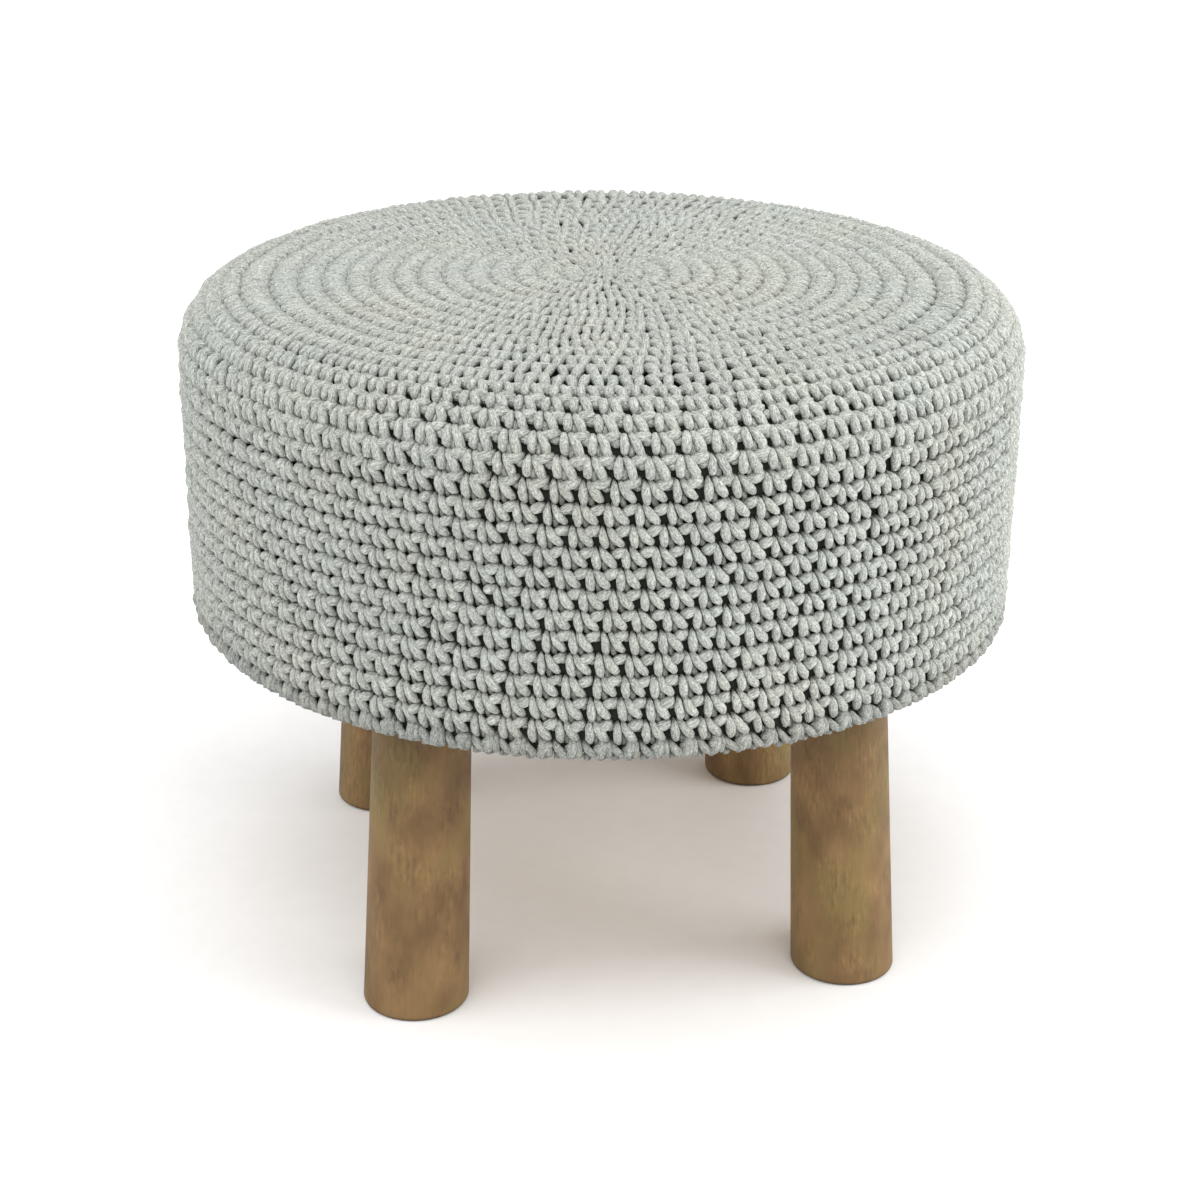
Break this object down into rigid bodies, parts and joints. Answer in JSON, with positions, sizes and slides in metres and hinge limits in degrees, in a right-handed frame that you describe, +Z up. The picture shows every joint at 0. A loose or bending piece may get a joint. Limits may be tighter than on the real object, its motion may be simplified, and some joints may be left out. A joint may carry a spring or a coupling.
{
  "type": "crocheted pouf on wooden legs",
  "caption": "Round drum pouf in a thick crocheted cord cover, flat on top, standing on splayed tapered wooden legs; used as a low stool or footrest.",
  "frame": {"origin": "on the floor, under the middle of the drum", "axes": "+Z up, -Y the front, +X to the right seen from the front; the legs stand on the diagonals"},
  "size_m": [0.5, 0.5, 0.406],
  "materials": {
    "cotton_cord": "matt crocheted cord, pale sage grey",
    "board_wood": "plain unvarnished plywood",
    "leg_wood": "brown stained wood with fine upright grain, satin"
  },
  "bodies": {
    "root": {"crochet_cover": "cotton_cord", "base_board": "board_wood", "leg_front_left": "leg_wood", "leg_front_right": "leg_wood", "leg_back_right": "leg_wood", "leg_back_left": "leg_wood"}
  },
  "joints": []
}
